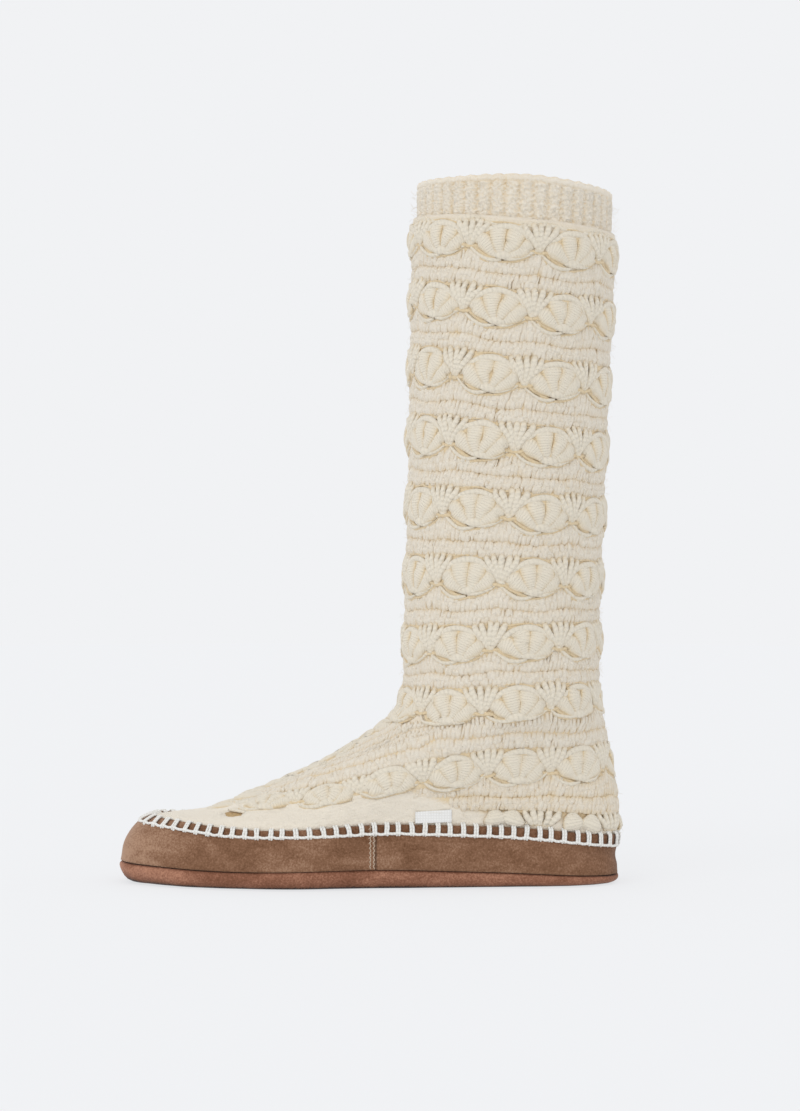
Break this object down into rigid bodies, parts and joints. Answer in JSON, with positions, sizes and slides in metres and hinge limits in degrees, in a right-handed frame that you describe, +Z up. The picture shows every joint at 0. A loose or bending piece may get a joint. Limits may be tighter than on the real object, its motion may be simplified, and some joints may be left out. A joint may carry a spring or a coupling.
{
  "type": "tall crochet slipper",
  "caption": "Tall crocheted wool slipper boot with a ribbed cuff, fan-stitch shaft, suede side band with blanket stitching and a soft suede sole.",
  "frame": {"origin": "on the floor under the middle of the slipper's bounding box", "axes": "+Z up from the sole to the cuff, -X towards the toe, -Y towards the outer side of the foot"},
  "size_m": [0.26, 0.1021, 0.3636],
  "materials": {
    "wool": "matte",
    "band_suede": "matte",
    "sole_suede": "matte",
    "insole_fleece": "matte",
    "label_ribbon": "satin"
  },
  "bodies": {
    "root": {"upper": "wool", "band_front": "band_suede", "band_back": "band_suede", "outsole": "sole_suede", "insole": "insole_fleece", "side_label": "label_ribbon"}
  },
  "joints": []
}
